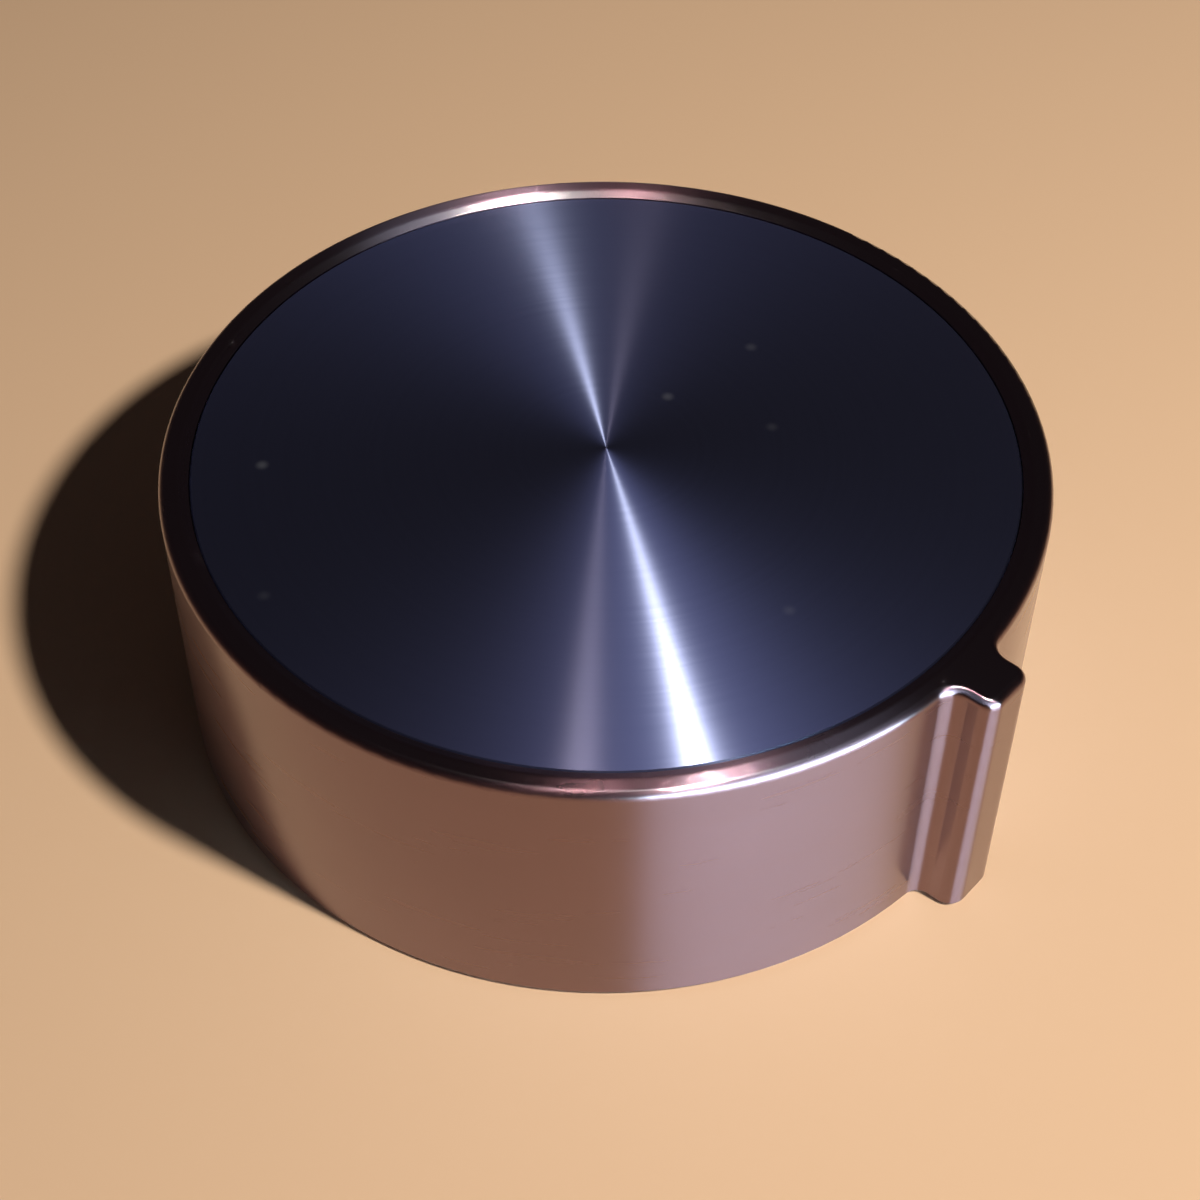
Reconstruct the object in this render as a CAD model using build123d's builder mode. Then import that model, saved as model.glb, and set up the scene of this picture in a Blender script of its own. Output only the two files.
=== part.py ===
"""Oven control knob: a plated drum with a pointer rib, a spun metal disc set in its top, and a
black hub moulding that snaps inside and grips a D-shaped shaft with a spring clip.

The origin is on the shaft's axis in the plane of the base rim. +Z runs out of the panel towards
the user, and the pointer faces -Y. Lengths are in millimetres and angles in degrees.
"""

import os

from build123d import *

# Drum: the plated shell's outside
drum_radius = 22.5        # at the lip
knob_height = 15.5        # base rim to the crest of the lip
wall_draft = 0.5          # the outer wall widens towards the base by this angle
lip_width = 1.5           # from the drum's outside in to the recess for the disc
lip_edge = 0.45           # rounds the lip's outer edge
lip_bevel = 0.5           # width of the slope from the lip's crest in and down to the disc
lip_crown = 0.5           # rounds the edge between the crest and the slope
rim_break = 0.2           # chamfer round the foot of the wall

# Pointer rib on the side of the drum, as high as the drum; its sizes are those at the lip
pointer_stand = 2.2       # from the drum's wall to the nose
pointer_width = 3.2
pointer_corner = 0.8      # rounds the nose's upright corners
pointer_root = 1.0        # hollow fillet where the rib leaves the drum
pointer_wall = 1.0        # left round the groove that cores the rib out

# Spun disc and the die-cut adhesive sheet under it
disc_depth = 0.25         # crest of the lip down to the face of the disc
disc_thickness = 0.8
disc_clearance = 0.05     # round the disc's edge
disc_break = 0.08         # chamfer round the disc's face
adhesive_thickness = 0.15
adhesive_margin = 1.2     # from the disc's edge in to the edge of the adhesive

# Shell's inside
shell_wall = 1.8
deck_thickness = 1.5
key_width = 2.0           # two keys on the X axis drive the hub moulding
key_depth = 1.0
catch_width = 5.0         # four catches in the wall take the snap hooks
catch_height = 1.8
catch_depth = 0.7
catch_base = 2.6          # base rim to the lower edge of a catch
hook_angle = 60.0         # X axis to the nearest hook and its catch, in all four quarters

# Hub moulding: a cup that seats under the shell's deck
core_clearance = 0.12     # round the cup, its keyways and its hooks
core_base = 0.8           # base rim up to the edge of the cup
skirt_wall = 1.3
plate_thickness = 1.4
hub_radius = 5.6
hub_break = 0.4           # chamfer round the hub's mouth
rib_count = 6
rib_angle = 30.0          # X axis to the first rib
rib_width = 1.2
rib_base = 2.2            # base rim up to the edge of the ribs
rib_fillet = 0.8          # where the ribs meet the hub
hook_width = 4.2
hook_reach = 0.45         # how far a barb stands out of the skirt
hook_slot = 0.8           # slots that free a hook's sides
hook_root = 3.0           # plate down to the ends of the slots

# Socket for a 6 mm shaft with a flat on it
shaft_radius = 3.0
shaft_flat = 1.6          # shaft's axis to its flat, which faces +Y
socket_clearance = 0.05
lead_clearance = 0.3      # round the shaft in the lead-in
lead_length = 4.0
lead_chamfer = 0.3

# Spring clip: a folded strip in a pocket behind the flat
clip_thickness = 0.3
clip_width = 4.0
clip_fold = 0.25          # inside radius of the fold
clip_bite = 0.15          # how far the bow stands past the flat when no shaft is in
clip_clearance = 0.05     # round the clip in its pocket
clip_margin = 0.3         # kept clear above and below the clip

# Sizes that follow from the ones above
pointer_reach = drum_radius + pointer_stand
recess_radius = drum_radius - lip_width
disc_base = knob_height - disc_depth - disc_thickness
recess_floor = disc_base - adhesive_thickness
disc_radius = recess_radius - disc_clearance
deck_underside = recess_floor - deck_thickness
cavity_radius = drum_radius - shell_wall
core_radius = cavity_radius - core_clearance
skirt_radius = core_radius - skirt_wall
plate_underside = deck_underside - plate_thickness
socket_radius = shaft_radius + socket_clearance
socket_flat = shaft_flat + socket_clearance
clip_back = socket_flat + 2 * (clip_fold + clip_thickness)
pocket_back = clip_back + clip_clearance
hook_starts = (hook_angle, 180 - hook_angle)

# Outer shell: drum, lip and pointer in one plated moulding
with BuildPart() as outer_shell:
    with BuildSketch() as outline:
        Circle(drum_radius)
        with Locations((0, -pointer_reach / 2)):
            Rectangle(pointer_width, pointer_reach)
        fillet(outline.vertices().group_by(Axis.Y)[1], pointer_root)
        fillet(outline.vertices().group_by(Axis.Y)[0], pointer_corner)
    extrude(amount=knob_height)
    walls = outer_shell.faces().filter_by(Axis.Z, reverse=True)
    draft(walls, Plane.XY.offset(knob_height), wall_draft)
    fillet(outer_shell.faces().sort_by(Axis.Z)[-1].outer_wire().edges(), lip_edge)
    chamfer(outer_shell.faces().sort_by(Axis.Z)[0].outer_wire().edges(), rim_break)

    # recess for the disc, and the slope that leads down to its face
    with BuildSketch(Plane.XY.offset(recess_floor)):
        Circle(recess_radius)
    extrude(amount=knob_height - recess_floor, mode=Mode.SUBTRACT)
    crest = outer_shell.faces().sort_by(Axis.Z)[-1]
    chamfer(crest.inner_wires()[0].edges(), lip_bevel, disc_depth, reference=crest)
    fillet(outer_shell.faces().sort_by(Axis.Z)[-1].inner_wires()[0].edges(), lip_crown)

    # cavity, less the drive keys, with the groove that cores out the pointer
    groove_reach = pointer_reach - pointer_wall
    with BuildSketch():
        Circle(cavity_radius)
        with PolarLocations(cavity_radius, 2):
            Rectangle(2 * key_depth, key_width, mode=Mode.SUBTRACT)
        with Locations((0, -groove_reach / 2)):
            Rectangle(pointer_width - 2 * pointer_wall, groove_reach)
    extrude(amount=deck_underside, mode=Mode.SUBTRACT)

    # catches for the hooks
    with BuildSketch(Plane.XY.offset(catch_base)):
        for start in hook_starts:
            with PolarLocations(cavity_radius, 2, start_angle=start):
                Rectangle(2 * catch_depth, catch_width)
    extrude(amount=catch_height, mode=Mode.SUBTRACT)

# Top disc: spun sheet, with its face's edge broken
with BuildPart() as top_disc:
    with BuildSketch(Plane.XY.offset(disc_base)):
        Circle(disc_radius)
    extrude(amount=disc_thickness)
    chamfer(top_disc.faces().sort_by(Axis.Z)[-1].edges(), disc_break)

# Adhesive sheet between the disc and the shell's deck
with BuildPart() as disc_adhesive:
    with BuildSketch(Plane.XY.offset(recess_floor)):
        Circle(disc_radius - adhesive_margin)
    extrude(amount=adhesive_thickness)

# A hook's barb, drawn across the X axis: flat on top to hold, ramped below to go in
with BuildPart() as barb:
    barb_base = catch_base + core_clearance
    barb_top = catch_base + catch_height - core_clearance
    barb_root = core_radius - skirt_wall / 2
    barb_nose = core_radius + hook_reach
    with BuildSketch(Plane.XZ):
        with BuildLine():
            Polyline(
                (barb_root, barb_top),
                (barb_nose, barb_top),
                (barb_nose, (barb_base + 2 * barb_top) / 3),
                (core_radius, barb_base),
                (barb_root, barb_base),
                close=True,
            )
        make_face()
    extrude(amount=hook_width / 2, both=True)

# Hub core: cup, ribs, hub and hooks in one black moulding
with BuildPart() as hub_core:
    # cup with keyways
    with BuildSketch(Plane.XY.offset(core_base)):
        Circle(core_radius)
        with PolarLocations(cavity_radius, 2):
            keyway_depth = key_depth + core_clearance
            keyway_width = key_width + 2 * core_clearance
            Rectangle(2 * keyway_depth, keyway_width, mode=Mode.SUBTRACT)
    extrude(amount=deck_underside - core_base)
    with BuildSketch(Plane.XY.offset(core_base)):
        Circle(skirt_radius)
    extrude(amount=plate_underside - core_base, mode=Mode.SUBTRACT)

    # ribs from the hub to the skirt, then the hub
    with BuildSketch(Plane.XY.offset(rib_base)) as ribs:
        Circle(hub_radius)
        with PolarLocations(skirt_radius / 2, rib_count, start_angle=rib_angle):
            Rectangle(skirt_radius + skirt_wall / 2, rib_width)
        fillet(ribs.vertices().sort_by_distance((0, 0))[: 2 * rib_count], rib_fillet)
    extrude(amount=plate_underside - rib_base)
    with BuildSketch():
        Circle(hub_radius)
    extrude(amount=plate_underside)
    chamfer(hub_core.faces().sort_by(Axis.Z)[0].edges(), hub_break)

    # slots that free the hooks, then the barbs
    with BuildSketch(Plane.XY.offset(core_base)):
        for start in hook_starts:
            with PolarLocations(core_radius, 2, start_angle=start):
                Rectangle(3 * skirt_wall, hook_width + 2 * hook_slot)
                Rectangle(3 * skirt_wall, hook_width, mode=Mode.SUBTRACT)
    extrude(amount=plate_underside - hook_root - core_base, mode=Mode.SUBTRACT)
    for start in hook_starts:
        with PolarLocations(0, 2, start_angle=start):
            add(barb.part)

    # socket: chamfered round lead-in, then the D, then the pocket for the clip
    with BuildSketch():
        Circle(shaft_radius + lead_clearance)
    extrude(amount=lead_length, mode=Mode.SUBTRACT)
    mouth = hub_core.faces().sort_by(Axis.Z)[0].inner_wires()[0]
    chamfer(mouth.edges(), lead_chamfer)
    with BuildSketch(Plane.XY.offset(lead_length)):
        Circle(socket_radius)
        with Locations((0, socket_flat + socket_radius)):
            Rectangle(2 * socket_radius, 2 * socket_radius, mode=Mode.SUBTRACT)
    extrude(amount=plate_underside - lead_length, mode=Mode.SUBTRACT)
    with BuildSketch():
        with Locations((0, (socket_flat + pocket_back) / 2)):
            Rectangle(clip_width + 2 * clip_clearance, pocket_back - socket_flat)
    extrude(amount=plate_underside, mode=Mode.SUBTRACT)

# Spring clip: a strip folded at its lower end, with a bow that presses on the shaft's flat
with BuildPart() as shaft_spring:
    clip_low = lead_length + clip_margin + clip_fold + clip_thickness
    clip_high = plate_underside - clip_margin
    with BuildLine(Plane.YZ.offset(clip_width / 2)):
        Line((clip_back, clip_high), (clip_back, clip_low))
        ThreePointArc(
            (clip_back, clip_low),
            ((clip_back + socket_flat) / 2, clip_low - clip_fold - clip_thickness),
            (socket_flat, clip_low),
        )
        ThreePointArc(
            (socket_flat, clip_low),
            (socket_flat - clip_bite, (clip_low + clip_high) / 2),
            (socket_flat, clip_high),
        )
    make_brake_formed(clip_thickness, clip_width, side=Side.RIGHT)

outer_shell.part.label = "outer_shell"
top_disc.part.label = "top_disc"
disc_adhesive.part.label = "disc_adhesive"
hub_core.part.label = "hub_core"
shaft_spring.part.label = "shaft_spring"

os.makedirs("parts", exist_ok=True)
export_step(outer_shell.part, "parts/outer_shell.step")
export_step(top_disc.part, "parts/top_disc.step")
export_step(disc_adhesive.part, "parts/disc_adhesive.step")
export_step(hub_core.part, "parts/hub_core.step")
export_step(shaft_spring.part, "parts/shaft_spring.step")
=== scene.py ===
"""Looks of the oven control knob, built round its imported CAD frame. Lengths are in metres.

The camera stands in front of the drum, to the left of the pointer, and looks down on it. The
scene's directions are given from there: "right" and "away" lie in the floor, "up" is +Z.
"""

import math

import bpy
from mathutils import Matrix, Vector


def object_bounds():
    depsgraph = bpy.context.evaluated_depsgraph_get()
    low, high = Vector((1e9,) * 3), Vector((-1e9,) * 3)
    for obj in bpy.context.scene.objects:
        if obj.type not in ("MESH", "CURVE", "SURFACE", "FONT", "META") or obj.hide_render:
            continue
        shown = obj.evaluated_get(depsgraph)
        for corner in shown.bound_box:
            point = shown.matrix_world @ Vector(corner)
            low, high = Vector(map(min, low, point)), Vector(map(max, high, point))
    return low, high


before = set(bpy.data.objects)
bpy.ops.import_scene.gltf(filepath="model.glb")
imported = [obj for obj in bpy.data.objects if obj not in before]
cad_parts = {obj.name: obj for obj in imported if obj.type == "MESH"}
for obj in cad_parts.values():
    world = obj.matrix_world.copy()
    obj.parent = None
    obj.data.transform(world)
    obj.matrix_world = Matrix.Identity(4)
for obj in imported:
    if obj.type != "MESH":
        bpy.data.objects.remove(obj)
cad_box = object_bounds()

# Camera: angles are in degrees, the lens and the sensor in millimetres
CAMERA_AZIMUTH = 49.0          # from the pointer to the camera, clockwise from above
CAMERA_ELEVATION = 42.83
CAMERA_RADII = 4.796           # from the lip's crest to the camera, in radii of the base rim
CAMERA_ROLL = 0.377
CAMERA_CLIP = (0.005, 10.0)    # the nearest and the farthest that it sees
AIM_HEIGHT = 0.2521            # where the lens points, as a share of the knob's height
AIM_SIDE = -0.01157            # and to the right of the axis, in radii of the base rim
LENS = 64.16
SENSOR = 36.0

# Lights: direction (right, away, up), distance, diameter, power in watts, colour, whether matt and
# glossy surfaces take light from it, and the one node that it lights, or None where it lights all.
# The lamps draw the two lines on the disc, the window casts the shadow, the fill comes from below
# for the underside, and the card brightens the front of the wall.
LIGHTS = {
    "lamp": ((0.166, 0.03, 0.985), 0.30, 0.006, 0.45, (1.0, 1.0, 1.0), False, True, None),
    "second_lamp": ((-0.04, 0.0, 0.999), 0.30, 0.018, 0.057, (1.0, 0.82, 0.80), False, True, None),
    "window": ((0.516, -0.370, 0.773), 0.30, 0.025, 1.10, (1.0, 0.93, 0.86), True, False, None),
    "fill": ((0.20, -0.50, -0.84), 0.60, 0.60, 8.0, (1.0, 0.97, 0.94), True, True, None),
    "card": ((0.600, -0.798, 0.05), 0.50, 0.55, 16.0, (0.62, 1.0, 1.20), False, True, "outer_shell"),
}
WORLD_COLOUR = (0.021, 0.018, 0.020)

# Sizes of the shell that its finish follows
DRUM_RADIUS = 0.0225
LIP_EDGE = 0.00045             # outer round of the lip
WALL_START = 0.00025           # height where the wall starts, above the chamfer of the base rim
POINTER_REACH = 0.003          # how far the pointer's root fillets reach to each side

# Grooves round the shaft's axis: how far the anisotropy is turned, as a share of a full turn, so
# that light spreads across them
ACROSS_GROOVES = 0.25

# The disc's sheen, as lobes: share that it takes from the lobes before it, outward lean, turn of the
# lean round the shaft's axis in degrees, roughness, anisotropy and the two colours of the rings
DISC_LOBES = (
    (1.00, 0.20, 0.0, 0.205, 0.98, (0.135, 0.148, 0.215), (0.185, 0.198, 0.280)),
    (0.26, -0.33, 3.3, 0.220, 0.95, (0.133, 0.147, 0.225), (0.175, 0.188, 0.275)),
    (0.40, 0.12, 0.0, 0.500, 0.68, (0.112, 0.127, 0.290), (0.123, 0.140, 0.318)),
)
LOBE_SPREAD = 0.01             # how far the rings vary a lobe's roughness to each side
FILM = 0.05                    # share of the plain film over the disc's metal
FILM_COLOUR = (0.05, 0.048, 0.052)

# Dust on the disc: share of the drum's radius, degrees from the camera's side round to its right,
# and share of grey at the middle of the speck
DUST = (
    (0.771, -85, 0.09),
    (0.224, 141, 0.08),
    (0.490, 136, 0.05),
    (0.384, 101, 0.03),
    (0.628, 38, 0.04),
    (0.856, -57, 0.025),
)
DUST_RADIUS = 0.00045
DUST_COLOUR = (0.36, 0.38, 0.42)

FLOOR_SIZE = 3.0
FLOOR_DROP = 0.00005           # a hair under the rim, so that no two faces share a plane
FLOOR_HOLE = 0.0224            # radius of the clear patch, which the base rim hides from above
FLOOR_COLOUR = (0.74, 0.51, 0.325)

# A Mix node's sockets by data type: the first value, the second and the result
MIX_SOCKETS = {"VECTOR": (4, 5, 1), "RGBA": (6, 7, 2)}


def view_frame():
    """The camera's right and away directions in the floor, in the part's frame."""
    turn = math.radians(CAMERA_AZIMUTH)
    away = Vector((math.sin(turn), math.cos(turn), 0))
    right = away.cross(Vector((0, 0, 1)))
    return right, away


def feed(tree, target, inputs):
    """Gives a node its inputs, each by a value or by the socket that feeds it."""
    for socket, value in inputs.items():
        if isinstance(value, bpy.types.NodeSocket):
            tree.links.new(value, target.inputs[socket])
        else:
            target.inputs[socket].default_value = value


def node(tree, kind, inputs=None, **settings):
    """Adds a shader node: settings are its properties, inputs what feed gives it."""
    made = tree.nodes.new("ShaderNode" + kind)
    for name, value in settings.items():
        setattr(made, name, value)
    feed(tree, made, inputs or {})
    return made


def material(name):
    """A material with an untouched Principled shader: returns it, its tree and the shader."""
    made = bpy.data.materials.new(name)
    made.use_nodes = True
    tree = made.node_tree
    return made, tree, tree.nodes["Principled BSDF"]


def math_of(tree, operation, first, second=0.0):
    """One arithmetic step on two numbers or sockets."""
    return node(tree, "Math", {0: first, 1: second}, operation=operation).outputs[0]


def beyond(tree, value, limit):
    """How far value is past limit, or 0 short of it."""
    return math_of(tree, "MAXIMUM", math_of(tree, "SUBTRACT", value, limit), 0.0)


def vector_of(tree, operation, first, second=(0, 0, 0)):
    """One step on two vectors or sockets that gives a vector."""
    return node(tree, "VectorMath", {0: first, 1: second}, operation=operation).outputs["Vector"]


def scaled(tree, vector, factor):
    """The vector times a number or socket."""
    return node(tree, "VectorMath", {0: vector, "Scale": factor}, operation="SCALE").outputs["Vector"]


def length_of(tree, vector):
    """The vector's length."""
    return node(tree, "VectorMath", {0: vector}, operation="LENGTH").outputs["Value"]


def in_world(tree, vector, vector_type):
    """A vector or a normal of the part's frame, turned into the scene's."""
    settings = {"vector_type": vector_type, "convert_from": "OBJECT", "convert_to": "WORLD"}
    return node(tree, "VectorTransform", {0: vector}, **settings).outputs[0]


def ranged(tree, value, low, high):
    """value, from 0 to 1, as a number from low to high."""
    return node(tree, "MapRange", {"Value": value, "To Min": low, "To Max": high}).outputs["Result"]


def mix_of(tree, data_type, factor, first, second):
    """first where factor is 0 and second where it is 1."""
    before, after, result = MIX_SOCKETS[data_type]
    inputs = {0: factor, before: first, after: second}
    return node(tree, "Mix", inputs, data_type=data_type).outputs[result]


def blended(tree, factor, first, second):
    """The colour first where factor is 0 and second where it is 1."""
    return mix_of(tree, "RGBA", factor, (*first, 1), (*second, 1))


def layered(tree, share, under, over):
    """The shader under, with a share of it given to the shader over."""
    return node(tree, "MixShader", {0: share, 1: under, 2: over}).outputs[0]


def plain(tree, colour, roughness):
    """A shader of one colour and one roughness."""
    return node(tree, "BsdfPrincipled", {"Base Color": (*colour, 1), "Roughness": roughness}).outputs[0]


def place(tree):
    """The point being shaded, in the part's frame."""
    return node(tree, "TexCoord").outputs["Object"]


def outward(tree):
    """The direction away from the shaft's axis at the point being shaded, and the distance from it."""
    flat = vector_of(tree, "MULTIPLY", place(tree), (1, 1, 0))
    return vector_of(tree, "NORMALIZE", flat), length_of(tree, flat)


def leaning(tree, normal, lean, turn):
    """The normal leaned by lean, a tangent, away from the shaft's axis and turn degrees aside."""
    inputs = {"Vector": outward(tree)[0], "Angle": math.radians(turn)}
    unit = node(tree, "VectorRotate", inputs, rotation_type="Z_AXIS").outputs[0]
    shift = scaled(tree, in_world(tree, unit, "VECTOR"), lean)
    return vector_of(tree, "NORMALIZE", vector_of(tree, "ADD", normal, shift))


def noise(tree, vector, scale, detail):
    """Noise from 0 to 1 over a vector, in cells per metre."""
    inputs = {"Vector": vector, "Scale": scale, "Detail": detail}
    return node(tree, "TexNoise", inputs).outputs["Fac"]


def rings(tree, scale, detail):
    """Concentric rings round the shaft's axis, as noise over the radius alone, in cells per metre."""
    inputs = {"W": outward(tree)[1], "Scale": scale, "Detail": detail, "Roughness": 0.7}
    return node(tree, "TexNoise", inputs, noise_dimensions="1D").outputs["Fac"]


def raised(tree, height, distance, strength, under=None):
    """The normal of a surface raised by height, from 0 to 1, times distance, where under is its own."""
    inputs = {"Height": height, "Distance": distance, "Strength": strength}
    if under is not None:
        inputs["Normal"] = under
    return node(tree, "Bump", inputs).outputs["Normal"]


def groove_tangent(tree):
    """The direction of grooves round the shaft's axis."""
    return node(tree, "Tangent", direction_type="RADIAL", axis="Z").outputs["Tangent"]


def dust(tree):
    """The few specks of dust on the disc, as the share of grey they show."""
    right, away = view_frame()
    total = 0.0
    for share, degrees, strength in DUST:
        turn = math.radians(degrees)
        speck = (right * math.sin(turn) - away * math.cos(turn)) * share * DRUM_RADIUS
        apart = vector_of(tree, "SUBTRACT", place(tree), tuple(speck))
        far = length_of(tree, vector_of(tree, "MULTIPLY", apart, (1, 1, 0)))
        inputs = {"Value": far, "From Max": DUST_RADIUS, "To Min": strength, "To Max": 0.0}
        spot = node(tree, "MapRange", inputs, interpolation_type="SMOOTHSTEP").outputs["Result"]
        total = math_of(tree, "ADD", spot, total)
    return total


def spun_disc():
    """Black anodised aluminium, spun: its grooves fan the light out in lines through the centre."""
    made, tree, shader = material("spun_disc")
    fine = rings(tree, scale=3000, detail=4)
    normal = raised(tree, fine, distance=1e-6, strength=1.0)
    tangent = groove_tangent(tree)
    shown = None
    for share, lean, turn, roughness, anisotropic, low, high in DISC_LOBES:
        lobe = node(tree, "BsdfPrincipled", {
            "Base Color": blended(tree, fine, low, high),
            "Metallic": 1.0,
            "Roughness": ranged(tree, fine, roughness - LOBE_SPREAD, roughness + LOBE_SPREAD),
            "Anisotropic": anisotropic,
            "Anisotropic Rotation": ACROSS_GROOVES,
            "Tangent": tangent,
            "Normal": leaning(tree, normal, lean, turn),
        }).outputs[0]
        shown = lobe if shown is None else layered(tree, share, shown, lobe)
    shown = layered(tree, FILM, shown, plain(tree, FILM_COLOUR, roughness=0.5))
    shown = layered(tree, dust(tree), shown, plain(tree, DUST_COLOUR, roughness=0.8))
    tree.nodes.remove(shader)
    feed(tree, tree.nodes["Material Output"], {"Surface": shown})
    return made


def drum_normal(tree):
    """The mesh's normal, made exact on the round outside of the drum, where plating would show facets."""
    unit, radius = outward(tree)
    point = node(tree, "SeparateXYZ", {0: place(tree)}).outputs
    past = beyond(tree, radius, DRUM_RADIUS - LIP_EDGE)
    above = beyond(tree, point["Z"], cad_box[1].z - LIP_EDGE)
    upward = node(tree, "CombineXYZ", {"Z": above}).outputs[0]
    exact = in_world(tree, vector_of(tree, "ADD", scaled(tree, unit, past), upward), "NORMAL")
    behind = math_of(tree, "GREATER_THAN", point["Y"], 0.0)
    aside = math_of(tree, "GREATER_THAN", math_of(tree, "ABSOLUTE", point["X"]), POINTER_REACH)
    off_pointer = math_of(tree, "MAXIMUM", behind, aside)
    outside = math_of(tree, "GREATER_THAN", past, 0.0)
    on_wall = math_of(tree, "GREATER_THAN", point["Z"], WALL_START)
    chosen = math_of(tree, "MULTIPLY", off_pointer, math_of(tree, "MULTIPLY", outside, on_wall))
    mesh = node(tree, "NewGeometry").outputs["Normal"]
    return vector_of(tree, "NORMALIZE", mix_of(tree, "VECTOR", chosen, mesh, exact))


def plated_shell():
    """Chrome plating over a turned face, so that its reflections run up and down the wall. Its dark
    red-brown colour is a painted reflection of a warm, partly shaded floor seen in the metal.
    """
    made, tree, shader = material("plated_shell")
    point = place(tree)
    streaks = noise(tree, vector_of(tree, "MULTIPLY", point, (1, 1, 14)), scale=120, detail=4)
    clouds = noise(tree, point, scale=90, detail=3)
    normal = raised(tree, streaks, distance=2e-6, strength=0.5, under=drum_normal(tree))
    feed(tree, shader, {
        # Painted reflection: the plating's colour is darkened and reddened to stand in for a warm, partly
        # shaded floor reflected in it; only the cloudy variation between the two is its own.
        "Base Color": blended(tree, clouds, (0.205, 0.116, 0.134), (0.245, 0.140, 0.162)),
        "Metallic": 1.0,
        "Roughness": ranged(tree, streaks, 0.265, 0.29),
        "Anisotropic": 1.0,
        "Anisotropic Rotation": ACROSS_GROOVES,
        "Tangent": groove_tangent(tree),
        "Normal": normal,
        "Coat Weight": 1.0,
        "Coat Roughness": 0.19,
        "Coat Normal": normal,
    })
    return made


def hub_plastic():
    """Black glass-filled nylon with a fine grain and pale flow marks."""
    made, tree, shader = material("hub_plastic")
    point = place(tree)
    flow = noise(tree, point, scale=140, detail=4)
    grain = noise(tree, point, scale=6000, detail=2)
    feed(tree, shader, {
        "Base Color": blended(tree, flow, (0.022, 0.022, 0.024), (0.040, 0.040, 0.043)),
        "Roughness": ranged(tree, flow, 0.42, 0.62),
        "Normal": raised(tree, grain, distance=2e-5, strength=0.5),
    })
    return made


def spring_steel():
    """Stainless strip, rolled along its length."""
    made, tree, shader = material("spring_steel")
    rolled = noise(tree, vector_of(tree, "MULTIPLY", place(tree), (12, 1, 1)), scale=900, detail=4)
    feed(tree, shader, {
        "Base Color": blended(tree, rolled, (0.52, 0.52, 0.53), (0.66, 0.66, 0.67)),
        "Metallic": 1.0,
        "Roughness": ranged(tree, rolled, 0.22, 0.40),
        "Normal": raised(tree, rolled, distance=4e-6, strength=0.5),
    })
    return made


def adhesive():
    """Off-white die-cut sheet with a papery mottle."""
    made, tree, shader = material("adhesive")
    mottle = noise(tree, place(tree), scale=900, detail=4)
    feed(tree, shader, {
        "Base Color": blended(tree, mottle, (0.66, 0.62, 0.55), (0.76, 0.73, 0.66)),
        "Roughness": ranged(tree, mottle, 0.6, 0.8),
        "Normal": raised(tree, mottle, distance=1e-5, strength=0.4),
    })
    return made


def pale_floor():
    """Plain pale floor, clear from below and under the knob, so that its underside can be looked at."""
    made, tree, shader = material("pale_floor")
    feed(tree, shader, {"Base Color": (*FLOOR_COLOUR, 1), "Roughness": 0.8, "Specular IOR Level": 0.0})
    below = node(tree, "NewGeometry").outputs["Backfacing"]
    under = math_of(tree, "LESS_THAN", outward(tree)[1], FLOOR_HOLE)
    clear = node(tree, "BsdfTransparent").outputs[0]
    shown = layered(tree, math_of(tree, "MAXIMUM", below, under), shader.outputs[0], clear)
    feed(tree, tree.nodes["Material Output"], {"Surface": shown})
    return made


def dress():
    """Gives every CAD node its finish."""
    finishes = {
        "outer_shell": plated_shell(),
        "top_disc": spun_disc(),
        "disc_adhesive": adhesive(),
        "hub_core": hub_plastic(),
        "shaft_spring": spring_steel(),
    }
    for name, finish in finishes.items():
        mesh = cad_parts[name].data
        mesh.materials.clear()
        mesh.materials.append(finish)


def make_floor():
    """A plain square under the knob."""
    half = FLOOR_SIZE / 2
    mesh = bpy.data.meshes.new("floor")
    corners = [(x, y, -FLOOR_DROP) for x, y in ((-half, -half), (half, -half), (half, half), (-half, half))]
    mesh.from_pydata(corners, [], [(0, 1, 2, 3)])
    mesh.materials.append(pale_floor())
    floor = bpy.data.objects.new("floor", mesh)
    bpy.context.scene.collection.objects.link(floor)


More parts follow.
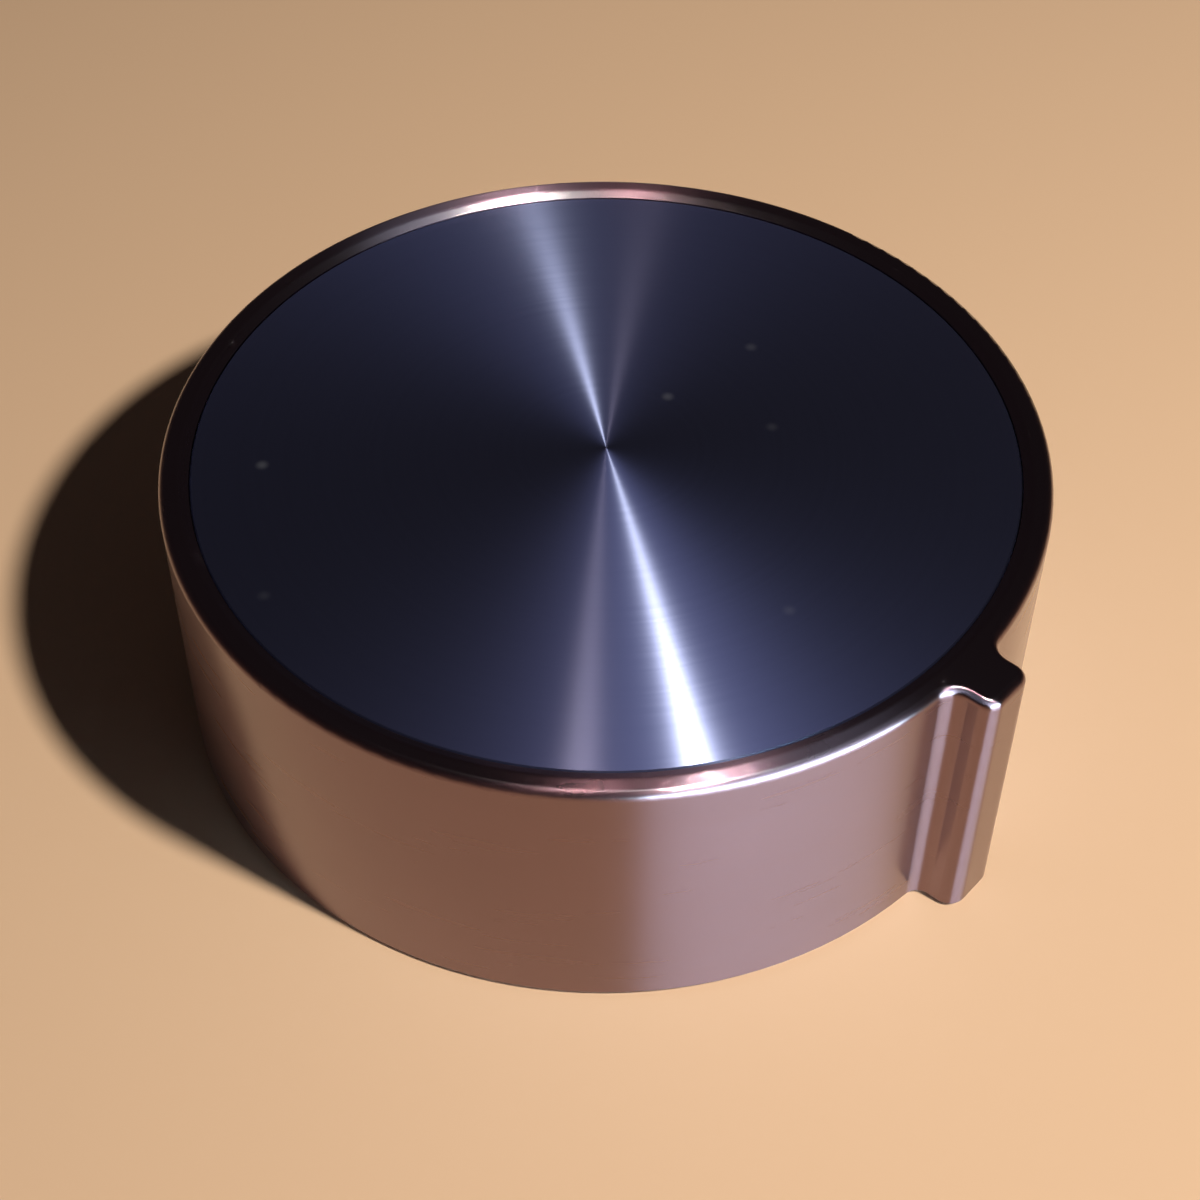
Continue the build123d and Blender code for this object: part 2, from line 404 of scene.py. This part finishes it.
def make_light(name, direction, distance, diameter, watts, colour, matt, glossy, only):
    """A round soft light, aimed at the shaft's axis, level with the lip's crest."""
    light = bpy.data.lights.new(name, "AREA")
    light.shape = "DISK"
    light.size = diameter
    light.energy = watts
    light.color = colour
    lamp = bpy.data.objects.new(name, light)
    lamp.visible_diffuse = matt
    lamp.visible_glossy = glossy
    right, away = view_frame()
    back = right * direction[0] + away * direction[1] + Vector((0, 0, direction[2]))
    back.normalize()
    lamp.location = Vector((0, 0, cad_box[1].z)) + back * distance
    lamp.rotation_mode = "QUATERNION"
    lamp.rotation_quaternion = back.to_track_quat("Z", "Y")
    bpy.context.scene.collection.objects.link(lamp)
    if only:
        lit = bpy.data.collections.new(name + "_lit")
        lit.objects.link(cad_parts[only])
        lamp.light_linking.receiver_collection = lit


def make_room():
    """The dim light of the room."""
    world = bpy.data.worlds.new("room")
    world.use_nodes = True
    world.node_tree.nodes["Background"].inputs["Color"].default_value = (*WORLD_COLOUR, 1)
    bpy.context.scene.world = world


def make_camera():
    """The camera, aimed low in the knob, close to its axis."""
    right, away = view_frame()
    radius, height = cad_box[1].x, cad_box[1].z
    climb = math.radians(CAMERA_ELEVATION)
    back = Vector((0, 0, math.sin(climb))) - away * math.cos(climb)
    data = bpy.data.cameras.new("camera")
    data.sensor_width = SENSOR
    data.lens = LENS
    data.clip_start, data.clip_end = CAMERA_CLIP
    camera = bpy.data.objects.new("camera", data)
    camera.location = Vector((0, 0, height)) + back * CAMERA_RADII * radius
    aim = Vector((0, 0, AIM_HEIGHT * height)) + right * AIM_SIDE * radius
    turn = (camera.location - aim).to_track_quat("Z", "Y").to_matrix()
    roll = Matrix.Rotation(math.radians(CAMERA_ROLL), 3, "Z")
    camera.rotation_mode = "QUATERNION"
    camera.rotation_quaternion = (turn @ roll).to_quaternion()
    bpy.context.scene.collection.objects.link(camera)
    bpy.context.scene.camera = camera


dress()
make_floor()
for light_name, light_settings in LIGHTS.items():
    make_light(light_name, *light_settings)
make_room()
make_camera()
bpy.context.scene.view_settings.view_transform = "Standard"
